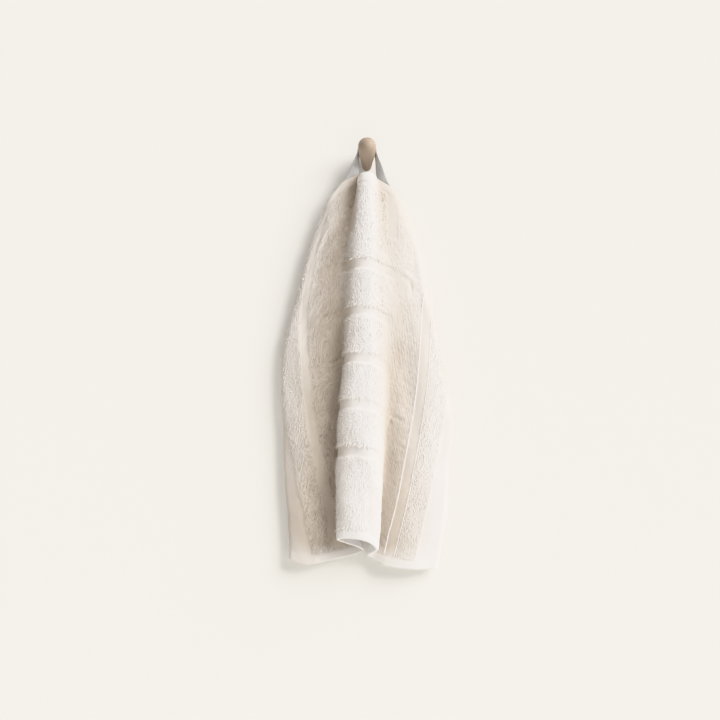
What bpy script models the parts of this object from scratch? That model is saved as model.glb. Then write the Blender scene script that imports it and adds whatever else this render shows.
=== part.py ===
"""A terry hand towel hanging from its tape loop on a slanted wooden wall peg.

Metres, +Z up. The wall is the plane y = 0 and everything hangs on its -Y side. The origin is the
middle of the peg's flat back face. Tables are in millimetres; "out" is the distance from the wall.
"""

import math
from collections import namedtuple

import bpy
import bmesh
from mathutils import Vector

MM = 0.001

# ---- driving dimensions ----
TOWEL_WIDTH = 0.500
TOWEL_LENGTH = 0.700
CLOTH_THICKNESS = 0.004
HEM_TOP_Z = -0.019  # the highest point of the top hem, on the column of cloth in the middle

PEG_TILT = math.radians(32)  # how far the peg points up from level
PEG_SIDES = 40

TAPE_WIDTH = 0.020
TAPE_THICKNESS = 0.0012
TAPE_OUT = 0.024  # from the wall to the tape's middle, which hangs over the peg in an upright plane
FIT_GAP = 0.0010

ROWS = 37  # rows of faces down the towel

# The peg's turned outline: distance along its axis from the wall, and radius.
PegStation = namedtuple("PegStation", "along radius")
PEG_OUTLINE = (
    PegStation(-16, 9.6),
    PegStation(0, 9.8),
    PegStation(22, 13.2),
    PegStation(40, 16.2),
    PegStation(51, 17.2),
)
PEG_DOME_CENTRE = 58.5
PEG_DOME_HEIGHT = 16.0

# The towel is cut by level sections at these distances down from its top hem.
LEVELS = (0, 150, 350, 550, 650, TOWEL_LENGTH / MM)

# Each fold line runs down the cloth. across: x at each level. out: distance from the wall at each
# level. drop: how far the cloth on it has slid down, at the top hem and at the bottom hem.
Fold = namedtuple("Fold", "name across out drop")
FOLDS = (
    Fold("left_border", (-120, -160, -175, -172, -165, -160), (29, 20, 15, 13, 13, 17), (60, 38)),
    Fold("left_flank_outer", (-82, -125, -140, -132, -126, -119), (31, 24, 23, 23, 23, 22), (56, 53)),
    Fold("left_flank_inner", (-46, -85, -95, -84, -72, -62), (28, 27, 24, 19, 19, 21), (16, 43)),
    Fold("left_neck", (-11, -42, -45, -31, -19, -8), (22, 33, 26, 17, 14, 17), (-1, 27)),
    Fold("column_left_edge", (-16, -31, -43, -57, -57, -55), (38, 41, 41, 42, 43, 45), (6, 4)),
    Fold("column_front_left", (-9, -20, -33, -45, -46, -45), (48, 50, 53, 54, 54, 53), (1, 0)),
    Fold("column_front_right", (7, 8, 6, 6, 3, 0), (48, 54, 58, 59, 58, 58), (1, 6)),
    Fold("column_right_edge", (13, 23, 25, 25, 24, 18), (38, 46, 49, 48, 48, 47), (6, 22)),
    Fold("right_neck", (18, 40, 40, 30, 17, 4), (31, 40, 38, 28, 19, 17), (10, 39)),
    Fold("right_flank_inner", (46, 75, 73, 58, 48, 35), (28, 36, 33, 32, 28, 25), (27, 55)),
    Fold("right_flank_outer", (72, 112, 118, 98, 92, 89), (28, 29, 34, 31, 27, 24), (52, 62)),
    Fold("right_border", (110, 150, 160, 165, 160, 150), (24, 22, 24, 20, 18, 17), (56, 61)),
)
# How far across the cut towel, from its middle, the cloth at column_front_right lies at places down.
Hold = namedtuple("Hold", "down across")
COLUMN_CLOTH = (Hold(0, -10), Hold(110, -3), Hold(210, 12), Hold(350, 17), Hold(550, 34), Hold(700, 31))

# The towel's side outlines, where its edges turn back behind it: height, x at the left and right,
# and the radius of each turn.
Turn = namedtuple("Turn", "z left right left_radius right_radius")
TURNS = (
    Turn(-65, -72, 60, 7.5, 10),
    Turn(-150, -104, 94, 7, 11),
    Turn(-250, -131, 119, 6.5, 11.5),
    Turn(-350, -157, 139, 6, 10),
    Turn(-430, -165, 152, 6, 9),
    Turn(-500, -161, 164, 5.5, 8),
    Turn(-580, -160, 157, 4.5, 7),
    Turn(-680, -152, 151, 4.5, 6),
    Turn(-780, -147, 135, 4.5, 5),
)

WALL_REST = 4.5  # the least distance from the wall to the middle of the cloth
WALL_SOFTNESS = 2  # how gently the cloth flattens as it comes to that distance
LEAN_REACH = 30  # the outline's lean at a height is measured this far above and below it

# Columns of faces between neighbouring marks across the cloth, from the left edge to the right edge.
# The marks are the fold lines and, for each turn, places this far past the outline that also keep
# this clear of the towel's edge.
COLUMNS = (6, 5, 3, 3, 6, 4, 3, 5, 3, 4, 4, 4, 5, 6)
TurnMark = namedtuple("TurnMark", "past clear")
LEFT_TURN_MARKS = (TurnMark(15, 4), TurnMark(-7, 12))
RIGHT_TURN_MARKS = (TurnMark(-9, 16), TurnMark(0, 10), TurnMark(20, 4))

# A leg of the loop. outer: where the tape's outer edge is as it dips behind the hem, as x, out and z.
# width: the tape's width direction there, towards that edge. sewn_out: the distance from the wall at
# the end of the stretch sewn to the hem's back.
Leg = namedtuple("Leg", "outer width sewn_out")
LEGS = (
    Leg((-36.9, 21.2, -18.4), (-0.886, 0.17, 0.463), 21.2),
    Leg((40.6, 25.0, -31.9), (0.85, 0.33, 0.41), 24.0),
)
SEWN_LENGTH = 22
TAPE_WRAP = math.radians(75)  # from the peg's top to where each leg leaves it
WRAP_STEPS = 7
LEG_STEPS = 18
SEWN_STEPS = 2


def clear_scene():
    for thing in list(bpy.data.objects):
        bpy.data.objects.remove(thing, do_unlink=True)


def plain_material(name, colour, roughness):
    material = bpy.data.materials.new(name)
    material.use_nodes = True
    shader = material.node_tree.nodes["Principled BSDF"]
    shader.inputs["Base Color"].default_value = (*colour, 1.0)
    shader.inputs["Roughness"].default_value = roughness
    shader.inputs["Metallic"].default_value = 0.0
    return material


def smooth(at, places, values):
    """A smooth curve through values at rising or falling places, held level past both ends."""
    if places[0] > places[-1]:
        places = places[::-1]
        values = values[::-1]
    if at <= places[0]:
        return values[0]
    if at >= places[-1]:
        return values[-1]
    i = max(k for k in range(len(places) - 1) if places[k] <= at)
    step = places[i + 1] - places[i]

    def slope(k):
        low, high = max(k - 1, 0), min(k + 1, len(places) - 1)
        return (values[high] - values[low]) / (places[high] - places[low])

    t = (at - places[i]) / step
    return (
        values[i] * (1 + 2 * t) * (1 - t) ** 2
        + slope(i) * step * t * (1 - t) ** 2
        + values[i + 1] * t * t * (3 - 2 * t)
        + slope(i + 1) * step * t * t * (t - 1)
    )


def through(points, steps):
    """A centripetal Catmull-Rom curve through points, with the given number of steps in each span."""
    first = points[0] * 2 - points[1]
    last = points[-1] * 2 - points[-2]
    guides = [first, *points, last]
    knots = [0.0]
    for a, b in zip(guides, guides[1:]):
        knots.append(knots[-1] + math.sqrt((b - a).length))
    line = []
    for i in range(1, len(guides) - 2):
        p0, p1, p2, p3 = guides[i - 1 : i + 3]
        t0, t1, t2, t3 = knots[i - 1 : i + 3]
        for k in range(steps):
            t = t1 + (t2 - t1) * k / steps
            a1 = p0.lerp(p1, (t - t0) / (t1 - t0))
            a2 = p1.lerp(p2, (t - t1) / (t2 - t1))
            a3 = p2.lerp(p3, (t - t2) / (t3 - t2))
            b1 = a1.lerp(a2, (t - t0) / (t2 - t0))
            b2 = a2.lerp(a3, (t - t1) / (t3 - t1))
            line.append(b1.lerp(b2, (t - t1) / (t2 - t1)))
    line.append(points[-1])
    return line


class Section:
    """The towel's level section at one distance down, as x, out and drop, read by place in the cloth."""

    STEPS = 12

    def __init__(self, down):
        share = down / LEVELS[-1]
        marks = []
        for fold in FOLDS:
            x = smooth(down, LEVELS, fold.across)
            out = smooth(down, LEVELS, fold.out)
            drop = fold.drop[0] + (fold.drop[1] - fold.drop[0]) * share
            marks.append(Vector((x, out, drop)))
        self.line = through(marks, self.STEPS)
        run = [0.0]
        for a, b in zip(self.line, self.line[1:]):
            run.append(run[-1] + (b - a).length)
        known = [f.name for f in FOLDS].index("column_front_right") * self.STEPS
        shift = smooth(down, *zip(*COLUMN_CLOTH)) - run[known]
        self.place = [r + shift for r in run]
        self.folds = [self.place[i * self.STEPS] for i in range(len(FOLDS))]

    def at(self, cloth):
        if cloth <= self.place[0]:
            return self.line[0] + Vector((cloth - self.place[0], 0, 0))
        if cloth >= self.place[-1]:
            return self.line[-1] + Vector((cloth - self.place[-1], 0, 0))
        low, high = 0, len(self.place) - 1
        while high - low > 1:
            mid = (low + high) // 2
            if self.place[mid] <= cloth:
                low = mid
            else:
                high = mid
        share = (cloth - self.place[low]) / (self.place[high] - self.place[low])
        return self.line[low].lerp(self.line[high], share)


def turn_at(z, side):
    """The outline's x, its lean from upright and the turn's radius at height z; side is -1 or 1."""
    heights = [t.z for t in TURNS]
    edge = [t.left if side < 0 else t.right for t in TURNS]
    radii = [t.left_radius if side < 0 else t.right_radius for t in TURNS]
    spread = smooth(z - LEAN_REACH, heights, edge) - smooth(z + LEAN_REACH, heights, edge)
    lean = math.atan2(side * spread, 2 * LEAN_REACH)
    return smooth(z, heights, edge), lean, smooth(z, heights, radii)


def resting(out):
    """Keeps the cloth from passing through the wall: it flattens where it comes close."""
    spare = out - WALL_REST
    return WALL_REST + (spare + math.sqrt(spare * spare + WALL_SOFTNESS * WALL_SOFTNESS)) / 2


def folded_back(x, out, z):
    """Turns the cloth that lies past a side outline round and back behind the towel."""
    for side in (-1, 1):
        edge, lean, radius = turn_at(z, side)
        past = (x - edge) * side * math.cos(lean)
        angle = (past + radius) / radius
        if angle <= 0:
            continue
        if angle < math.pi:
            kept = radius * (math.sin(angle) - 1)
            out -= radius * (1 - math.cos(angle))
        else:
            kept = -radius - (past + radius - math.pi * radius)
            out -= 2 * radius
        moved = kept - past
        x += side * moved * math.cos(lean)
        z += moved * math.sin(lean)
    return x, resting(out), z


def cloth_point(section, cloth, down):
    """The middle of the cloth at a place across and down the cut towel, in metres."""
    x, out, drop = section.at(cloth)
    z = HEM_TOP_Z / MM - drop - down
    x, out, z = folded_back(x, out, z)
    return Vector((x * MM, -out * MM, z * MM))


def crossing(section, down, side):
    """The place across the cloth where a section crosses the side outline."""
    inside = section.folds[0 if side < 0 else -1] * 0.5
    outside = side * TOWEL_WIDTH / MM * 0.75
    for _ in range(40):
        middle = (inside + outside) / 2
        x, _out, drop = section.at(middle)
        edge, _lean, _radius = turn_at(HEM_TOP_Z / MM - drop - down, side)
        if (x - edge) * side > 0:
            outside = middle
        else:
            inside = middle
    return inside


def column_places(section, down):
    """Where the columns of faces stand across the cloth, closer together at the folds and turns."""
    half = TOWEL_WIDTH / MM / 2
    left = crossing(section, down, -1)
    right = crossing(section, down, 1)
    marks = [-half]
    marks += [max(left - m.past, m.clear - half) for m in LEFT_TURN_MARKS]
    marks += section.folds[2:-2]
    marks += [min(right + m.past, half - m.clear) for m in RIGHT_TURN_MARKS]
    marks.append(half)
    places = []
    for start, end, count in zip(marks, marks[1:], COLUMNS):
        places += [start + (end - start) * k / count for k in range(count)]
    places.append(half)
    return places


def make_towel():
    mesh = bpy.data.meshes.new("towel")
    build = bmesh.new()
    grid = []
    for row in range(ROWS + 1):
        down = LEVELS[-1] * row / ROWS
        section = Section(down)
        places = column_places(section, down)
        grid.append([build.verts.new(cloth_point(section, u, down)) for u in places])
    for upper, lower in zip(grid, grid[1:]):
        for k in range(len(upper) - 1):
            build.faces.new((upper[k], lower[k], lower[k + 1], upper[k + 1]))
    build.to_mesh(mesh)
    build.free()
    towel = bpy.data.objects.new("towel", mesh)
    bpy.context.collection.objects.link(towel)
    solid = towel.modifiers.new("thickness", "SOLIDIFY")
    solid.thickness = CLOTH_THICKNESS
    solid.offset = 0
    mesh.materials.append(plain_material("cream_terry", (0.83, 0.78, 0.70), 0.95))
    mesh.shade_smooth()
    return towel


def peg_frame():
    """The peg's axis, pointing out and up from the wall, and the direction square to it, pointing up."""
    axis = Vector((0, -math.cos(PEG_TILT), math.sin(PEG_TILT)))
    upper = Vector((0, math.sin(PEG_TILT), math.cos(PEG_TILT)))
    return axis, upper


def peg_radius(along):
    return smooth(along, [s.along for s in PEG_OUTLINE], [s.radius for s in PEG_OUTLINE])


def make_peg():
    """The peg is turned about its slanted axis, then sawn off level with the wall."""
    outline = [(s.along, s.radius) for s in PEG_OUTLINE]
    dome_radius = PEG_OUTLINE[-1].radius
    for k in range(8):
        angle = math.radians(90) * k / 8
        along = PEG_DOME_CENTRE + PEG_DOME_HEIGHT * math.sin(angle)
        outline.append((along, dome_radius * math.cos(angle)))
    axis, upper = peg_frame()
    build = bmesh.new()
    rings = []
    for along, radius in outline:
        ring = []
        for k in range(PEG_SIDES):
            angle = math.tau * k / PEG_SIDES
            spoke = Vector((math.sin(angle), 0, 0)) + upper * math.cos(angle)
            ring.append(build.verts.new((axis * along + spoke * radius) * MM))
        rings.append(ring)
    for near, far in zip(rings, rings[1:]):
        for k in range(PEG_SIDES):
            nxt = (k + 1) % PEG_SIDES
            build.faces.new((near[k], near[nxt], far[nxt], far[k]))
    tip = build.verts.new(axis * (PEG_DOME_CENTRE + PEG_DOME_HEIGHT) * MM)
    for k in range(PEG_SIDES):
        build.faces.new((rings[-1][k], rings[-1][(k + 1) % PEG_SIDES], tip))
    build.faces.new(rings[0])
    everything = build.verts[:] + build.edges[:] + build.faces[:]
    cut = bmesh.ops.bisect_plane(
        build, geom=everything, plane_co=(0, 0, 0), plane_no=(0, 1, 0), clear_outer=True
    )
    rim = [g for g in cut["geom_cut"] if isinstance(g, bmesh.types.BMEdge)]
    bmesh.ops.edgeloop_fill(build, edges=rim)
    bmesh.ops.recalc_face_normals(build, faces=build.faces)
    mesh = bpy.data.meshes.new("wall_peg")
    build.to_mesh(mesh)
    build.free()
    mesh.shade_smooth()
    mesh.set_sharp_from_angle(angle=math.radians(50))
    mesh.materials.append(plain_material("light_wood", (0.52, 0.38, 0.25), 0.6))
    peg = bpy.data.objects.new("wall_peg", mesh)
    bpy.context.collection.objects.link(peg)
    return peg


def tape_stations():
    """The tape's outer edge and width direction, from the left sewn end over the peg to the right."""
    axis, upper = peg_frame()
    half = TAPE_WIDTH / 2
    over = []
    for k in range(-WRAP_STEPS, WRAP_STEPS + 1):
        angle = TAPE_WRAP * k / WRAP_STEPS
        normal = Vector((math.sin(angle), 0, 0)) + upper * math.cos(angle)
        along = TAPE_OUT / math.cos(PEG_TILT)
        for _ in range(3):
            lift = peg_radius(along / MM) * MM + FIT_GAP + TAPE_THICKNESS / 2
            along = (TAPE_OUT + normal.y * lift) / math.cos(PEG_TILT)
        flare = (peg_radius((along + half) / MM) - peg_radius((along - half) / MM)) * MM / TAPE_WIDTH
        tangent = Vector((normal.z, 0, -normal.x)).normalized()
        width = tangent.cross(normal)
        width = (width + normal * flare * width.dot(axis)).normalized()
        over.append((axis * along + normal * lift + width * half, width))
    legs = []
    for leg, (start, start_width) in zip(LEGS, (over[0], over[-1])):
        x, out, z = leg.outer
        outer = Vector((x, -out, z)) * MM
        wx, wout, wz = leg.width
        width = Vector((wx, -wout, wz)).normalized()
        run = []
        for k in range(1, LEG_STEPS + 1):
            share = k / LEG_STEPS
            turned = start_width.slerp(width, share * share * (3 - 2 * share))
            run.append((start.lerp(outer, share), turned))
        onward = outer - start
        onward = (onward - width * onward.dot(width)).normalized()
        for k in range(1, SEWN_STEPS + 1):
            share = k / SEWN_STEPS
            point = outer + onward * SEWN_LENGTH * MM * share
            point.y = -(out + (leg.sewn_out - out) * share) * MM
            run.append((point, width))
        legs.append(run)
    return legs[0][::-1] + over + legs[1]


def make_loop():
    stations = tape_stations()
    build = bmesh.new()
    rings = []
    for i, (point, width) in enumerate(stations):
        before = stations[max(i - 1, 0)][0]
        after = stations[min(i + 1, len(stations) - 1)][0]
        along = (after - before).normalized()
        across = width * TAPE_WIDTH
        thick = along.cross(across).normalized() * TAPE_THICKNESS / 2
        corners = (thick, thick - across, -thick - across, -thick)
        rings.append([build.verts.new(point + c) for c in corners])
    for near, far in zip(rings, rings[1:]):
        for k in range(4):
            nxt = (k + 1) % 4
            build.faces.new((near[k], near[nxt], far[nxt], far[k]))
    build.faces.new(rings[0])
    build.faces.new(rings[-1])
    bmesh.ops.recalc_face_normals(build, faces=build.faces)
    mesh = bpy.data.meshes.new("hanging_loop")
    build.to_mesh(mesh)
    build.free()
    mesh.materials.append(plain_material("grey_tape", (0.38, 0.37, 0.35), 0.9))
    loop = bpy.data.objects.new("hanging_loop", mesh)
    bpy.context.collection.objects.link(loop)
    return loop


def main():
    clear_scene()
    make_peg()
    make_loop()
    make_towel()


main()
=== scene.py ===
"""A terry hand towel hung by its tape loop from a turned wooden wall peg, with its cloth finishes.

Metres, +Z up, the wall is y = 0 and the towel hangs on its -Y side. Tables are in millimetres; "out"
is the distance from the wall. A place in the cloth is (across, down): across runs from the cut
towel's middle to its right edge, down runs from its top hem.
"""

import math
from collections import namedtuple

import bpy
import numpy as np
from bpy.props import FloatProperty, FloatVectorProperty, IntProperty, PointerProperty
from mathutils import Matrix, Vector


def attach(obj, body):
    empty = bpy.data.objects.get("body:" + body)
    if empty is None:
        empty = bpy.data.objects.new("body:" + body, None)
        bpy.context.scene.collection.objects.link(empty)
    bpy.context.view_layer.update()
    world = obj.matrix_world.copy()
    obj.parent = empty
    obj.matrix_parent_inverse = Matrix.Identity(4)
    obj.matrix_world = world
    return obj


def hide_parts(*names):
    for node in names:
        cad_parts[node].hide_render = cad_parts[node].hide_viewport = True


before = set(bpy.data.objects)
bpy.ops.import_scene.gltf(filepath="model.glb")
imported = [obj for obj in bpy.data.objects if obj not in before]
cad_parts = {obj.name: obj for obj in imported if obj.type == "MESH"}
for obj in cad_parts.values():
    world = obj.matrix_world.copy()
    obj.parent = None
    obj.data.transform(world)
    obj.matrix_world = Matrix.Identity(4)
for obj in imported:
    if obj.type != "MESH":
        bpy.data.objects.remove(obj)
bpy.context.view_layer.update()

bl_info = {
    "name": "Hand Towel on a Wall Peg",
    "version": (1, 0, 0),
    "blender": (4, 5, 0),
    "location": "View3D > Sidebar > Hand Towel",
    "description": "Makes a hung terry hand towel, its tape loop, its wooden peg and their finishes",
    "category": "Object",
}

MM = 0.001
BODY = "root"

# ---- The towel's folds ----

TOWEL_WIDTH = 500
TOWEL_LENGTH = 700
HEM_TOP_Z = -19  # the highest point of the top hem, on the column of cloth in the middle

# The towel is drawn as level sections at these distances down from its top hem.
LEVELS = (0, 150, 350, 550, 650, 700)

# Each fold line runs down the cloth. across: x at each level. out: distance from the wall at each
# level. drop: how far the cloth on it has slid down, at the top hem and at the bottom hem.
Fold = namedtuple("Fold", "name across out drop")
FOLDS = (
    Fold("left_border", (-120, -160, -175, -172, -165, -160), (29, 20, 15, 13, 13, 17), (60, 38)),
    Fold("left_flank_outer", (-82, -125, -140, -132, -126, -119), (31, 24, 23, 23, 23, 22), (56, 53)),
    Fold("left_flank_inner", (-46, -85, -95, -84, -72, -62), (28, 27, 24, 19, 19, 21), (16, 43)),
    Fold("left_neck", (-11, -42, -45, -31, -19, -8), (22, 33, 26, 17, 14, 17), (-1, 27)),
    Fold("column_left_edge", (-16, -31, -43, -57, -57, -55), (38, 41, 41, 42, 43, 45), (6, 4)),
    Fold("column_front_left", (-9, -20, -33, -45, -46, -45), (48, 50, 53, 54, 54, 53), (1, 0)),
    Fold("column_front_right", (7, 8, 6, 6, 3, 0), (48, 54, 58, 59, 58, 58), (1, 6)),
    Fold("column_right_edge", (13, 23, 25, 25, 24, 18), (38, 46, 49, 48, 48, 47), (6, 22)),
    Fold("right_neck", (18, 40, 40, 30, 17, 4), (31, 40, 38, 28, 19, 17), (10, 39)),
    Fold("right_flank_inner", (46, 75, 73, 58, 48, 35), (28, 36, 33, 32, 28, 25), (27, 55)),
    Fold("right_flank_outer", (72, 112, 118, 98, 92, 89), (28, 29, 34, 31, 27, 24), (52, 62)),
    Fold("right_border", (110, 150, 160, 165, 160, 150), (24, 22, 24, 20, 18, 17), (56, 61)),
)
SPAN_STEPS = 24  # steps between neighbouring fold lines
# How far across the cut towel, from its middle, the cloth at column_front_right lies at places down.
Hold = namedtuple("Hold", "down across")
COLUMN_CLOTH = (Hold(0, -10), Hold(110, -3), Hold(210, 12), Hold(350, 17), Hold(550, 34), Hold(700, 31))

# The towel's side outlines, where its edges turn back behind it: height, x at the left and right,
# and the radius of each turn.
Turn = namedtuple("Turn", "z left right left_radius right_radius")
TURNS = (
    Turn(-65, -72, 60, 7.5, 10),
    Turn(-150, -104, 94, 7, 11),
    Turn(-250, -131, 119, 6.5, 11.5),
    Turn(-350, -157, 139, 6, 10),
    Turn(-430, -165, 152, 6, 9),
    Turn(-500, -161, 164, 5.5, 8),
    Turn(-580, -160, 157, 4.5, 7),
    Turn(-680, -152, 151, 4.5, 6),
    Turn(-780, -147, 135, 4.5, 5),
)
LEAN_REACH = 30  # the outline's lean at a height is measured this far above and below it
WALL_REST = 4.5  # the least distance from the wall to the middle of the cloth
WALL_SOFTNESS = 2  # how gently the cloth flattens as it comes to that distance

# Small creases pressed into the cloth: middle, half-length along and half-width across, height
# (minus for a trough) and angle from level, anticlockwise as seen from the front.
Crease = namedtuple("Crease", "across down length width height angle")
CREASES = (
    Crease(89, 162, 11, 4.0, 1.8, -12),
    Crease(97, 180, 13, 4.5, -2.0, -70),
    Crease(104, 108, 52, 8.0, 2.6, -77),
    Crease(127, 190, 22, 5.0, 1.6, -80),
    Crease(-118, 105, 26, 6.0, 2.2, 66),
    Crease(-100, 120, 24, 7.0, -0.9, 66),
    Crease(93, 432, 12, 3.6, -1.7, 4),
    Crease(82, 446, 11, 3.6, -1.7, 72),
    Crease(119, 472, 9, 3.6, 1.1, 10),
    Crease(32, 634, 46, 3.4, -1.6, 88),
    Crease(-60, 168, 16, 3.6, -1.8, 18),
    Crease(-58, 260, 18, 3.6, -1.8, 16),
    Crease(-66, 348, 20, 3.6, -1.8, 14),
    Crease(-143, 300, 60, 9.0, 1.2, -84),
    Crease(70, 560, 55, 8.0, 1.0, 84),
)

# The soft unevenness of the whole cloth: waves by their turning in radians for each millimetre
# across and down, the angle that each starts at, and its height.
Wave = namedtuple("Wave", "by_across by_down start height")
RIPPLES = (
    Wave(0.062, 0.022, 0.4, 0.55),
    Wave(-0.044, 0.038, 1.9, 0.5),
    Wave(0.114, -0.032, 3.1, 0.28),
    Wave(0.036, 0.086, 5.2, 0.3),
    Wave(-0.142, 0.068, 0.9, 0.16),
    Wave(0.098, 0.162, 2.3, 0.14),
)
CLUMP_SEED = 11
CLUMP_HEIGHT = 0.33  # how uneven the terry is from one grid point to the next
CLUMP_FADE = (8, 24)  # where that unevenness fades in from either hem

# The grid that carries the cloth: its steps, and its closer places near the four edges.
ACROSS_STEP = 2.5
DOWN_STEP = 3.05
EDGE_PLACES = (0.0, 0.5, 1.2, 2.2, 3.6, 5.5)
EDGE_ZONE = 7.5

# ---- The weave: where the cloth is terry and where it is woven flat ----

WEAVE_EDGE = 3.0  # the width over which terry changes to flat weave
HEM_BAND = 17
HEM_SOFTNESS = 1.5
BAR_PLACES = (172, 262, 352, 441, 531)
BAR_HEIGHT = 20
BAR_TRACE = 0.12  # how much of each bar still shows on the left, past CLEAR_BARS
CENTRE_HALF = 125
STRIPE_HALF = 10
BORDER_START = 186
END_STRIPE_PLACE = 45
END_STRIPE_HALF = 11
END_STRIPE_LENGTH = 90

# The cords that edge the two long stripes: place across and lift above the middle of the cloth.
Rib = namedtuple("Rib", "across lift")
RIBS = (
    Rib(-CENTRE_HALF - 2 * STRIPE_HALF, 0.7),
    Rib(-CENTRE_HALF, 0.7),
    Rib(CENTRE_HALF, 1.7),
    Rib(CENTRE_HALF + 2 * STRIPE_HALF, 1.6),
)
RIB_RADIUS = 1.2
RIB_SIDES = 6

# A patch of the cloth: the places between which it fades in and out across, and in down the cloth.
Patch = namedtuple("Patch", "rise fall down")
FROM_LEFT = (-260, -250)
TO_RIGHT = (250, 260)
FROM_TOP = (-10, 0)
CLEAR_BARS = Patch((-80, -50), (40, 75), FROM_TOP)
FRINGED = Patch((-100, -60), (20, 45), FROM_TOP)
SHORT_LOOPS = Patch((35, 60), (120, 150), FROM_TOP)
SHORT_SHARE = 0.75  # how much shorter those loops are, as a share of FRINGE_GROWTH
FRINGE_RISE = (9, 2)  # above a bar, where the loops grow longer and are at their longest
FRINGE_END = (-3, 0)

# The step from terry down to flat weave is full in the inner part of the cloth and low round it.
LOW_RELIEF = 0.2
RELIEF_ACROSS = (70, 100)
RELIEF_DOWN = (110, 130)
EDGE_ROUNDING = 2.2  # how far from a cut edge the cloth starts to round off
EDGE_THINNING = 0.93  # how round it is there: at 1 it would end in a sharp edge

# Painted shade: the cotton's colour is mixed towards a painted shade colour in the hollows between
# folds. It is fully mixed where a place lies the set depth below its surroundings, within about the set
# reach.
# Patches of cloth get less or more of this painted shade by a share.
PAINTED_SHADE_REACH = 120
PAINTED_SHADE_DEPTH = 30
FOLD_SHADE = 1.25  # how strongly each finish takes up the painted shade of the folds
# A patch of cloth and the share of painted shade taken off or added there.
ShadePatch = namedtuple("ShadePatch", "patch share")
# Less painted shade: on the right, the side the key light falls on, and low down in the valley right of the
# column.
LESS_PAINTED_SHADE = (
    ShadePatch(Patch((15, 40), TO_RIGHT, FROM_TOP), 0.2),
    ShadePatch(Patch((20, 40), (70, 90), (430, 520)), 0.6),
)
# More painted shade: over the left flank, in the column's shadow and turned from the light, and over the
# right flank.
MORE_PAINTED_SHADE = (
    ShadePatch(Patch(FROM_LEFT, (-75, -50), (60, 200)), 0.14),
    ShadePatch(Patch((45, 85), (125, 165), (120, 300)), 0.16),
)
# Painted shade on the flat weave across the left part of the column, which lies in shade.
BAR_PAINTED_SHADE = ShadePatch(Patch((-60, -50), (-28, 8), FROM_TOP), 0.22)
# Painted shade on the lower left border, which is turned away from the light.
LEFT_BORDER_PAINTED_SHADE = ShadePatch(Patch(FROM_LEFT, (-190, -178), (250, 420)), 0.22)
# Painted shade added on the flat-woven stripes and bars inside the two borders.
STRIPE_PAINTED_SHADE = 0.13
STRIPE_SHADE_FADE = 4
HEM_PAINTED_SHADE = 0.25  # the share of the painted shade left at the bottom hem, back to full at the reach on the next line above it
HEM_SHADE_REACH = 55
TURNED_PAINTED_SHADE = 0.2  # the share of the painted shade left where the cloth's front is turned towards the wall
TURNED_FACING = (-0.3, 0.4)  # how much the cloth's normal points out, from turned away to facing
BACK_PAINTED_SHADE = 0.3  # the share of the front's painted shade that the back of the cloth takes

# ---- The pile: tufts of loops ----

LOOP_DENSITY = 400000.0  # the most tufts for each square metre
TUFT_RISE = 0.35  # how far the middle of a tuft is above its root, as a share of its length
LOOP_SIZES = (0.7, 1.25)  # the shortest and longest tuft, as shares of the set length
LOOP_LEAN = ((-1.0, -0.5, -0.5), (0.1, 0.5, 0.5))  # the limits of each tuft's own lean, x, y and z
LOOP_STAND = 0.75  # how far a tuft stands up, against lying down along the cloth
LOOP_ROOT = 0.6  # how deep the tufts are rooted
FRINGE_GROWTH = 0.9  # how much longer the tufts grow above a bar
BACK_LOOPS = 0.6  # the length of the tufts behind, as a share of those in front

# ---- The peg and the tape ----

PEG_TILT = math.radians(32)  # how far the peg points up from level
# The peg's turned outline: distance along its axis from the wall, and radius.
PegStation = namedtuple("PegStation", "along radius")
PEG_OUTLINE = (
    PegStation(-16, 9.6),
    PegStation(0, 9.8),
    PegStation(22, 13.2),
    PegStation(40, 16.2),
    PegStation(51, 17.2),
)
PEG_START = -15.9
PEG_RINGS = 26
PEG_SIDES = 96
PEG_DOME_CENTRE = 58.5
PEG_DOME_HEIGHT = 16.0
DOME_RINGS = 14

TAPE_WIDTH = 20
TAPE_THICKNESS = 1.2
TAPE_OUT = 24  # from the wall to the tape's middle, which hangs over the peg in an upright plane
TAPE_COLUMNS = 9
SELVEDGE_SHARPNESS = 10  # how late towards its edges the tape rounds off
SELVEDGE_LEAST = 0.08
FIT_GAP = 1.0  # from the peg to the tape
# A leg of the loop. outer: where the tape's outer edge is as it dips behind the hem, as x, out and z.
# width: the tape's width direction there, towards that edge. sewn_out: the distance from the wall at
# the end of the stretch sewn to the hem's back.
Leg = namedtuple("Leg", "outer width sewn_out")
LEGS = (
    Leg((-36.9, 21.2, -18.4), (-0.886, 0.17, 0.463), 21.2),
    Leg((40.6, 25.0, -31.9), (0.85, 0.33, 0.41), 24.0),
)
SEWN_LENGTH = 22
TAPE_WRAP = math.radians(75)  # from the peg's top to where each leg leaves it
WRAP_STEPS = 24
LEG_STEPS = 24
SEWN_STEPS = 6

# ---- The stage, in metres ----

FLOOR_Z = -1.3
WALL_HALF = 3.0
FLOOR_REACH = 20.0
KEY_WAY = (-0.70, 0.385, -0.60)
GLOW_WAY = (0.35, -0.75, -0.4)
GLOW_STRENGTH = 1.1
GLOW_SPREAD = math.radians(60)
GLOW_COLOUR = (1.0, 0.98, 0.95)
WHITE = (1.0, 1.0, 1.0)
SKY_COLOUR = (0.888, 0.863, 0.807, 1.0)
CAMERA_PLACE = (-0.0134, -3.299, -0.378)
CAMERA_LENS = 85
CAMERA_SENSOR = 36


# ---- Sizes and colours a user would change ----


def length_setting(name, description, default, low, high):
    return FloatProperty(
        name=name, description=description, default=default, min=low, max=high, unit="LENGTH"
    )


def colour_setting(name, description, default):
    return FloatVectorProperty(
        name=name, description=description, subtype="COLOR", default=default, min=0.0, max=1.0
    )


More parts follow.
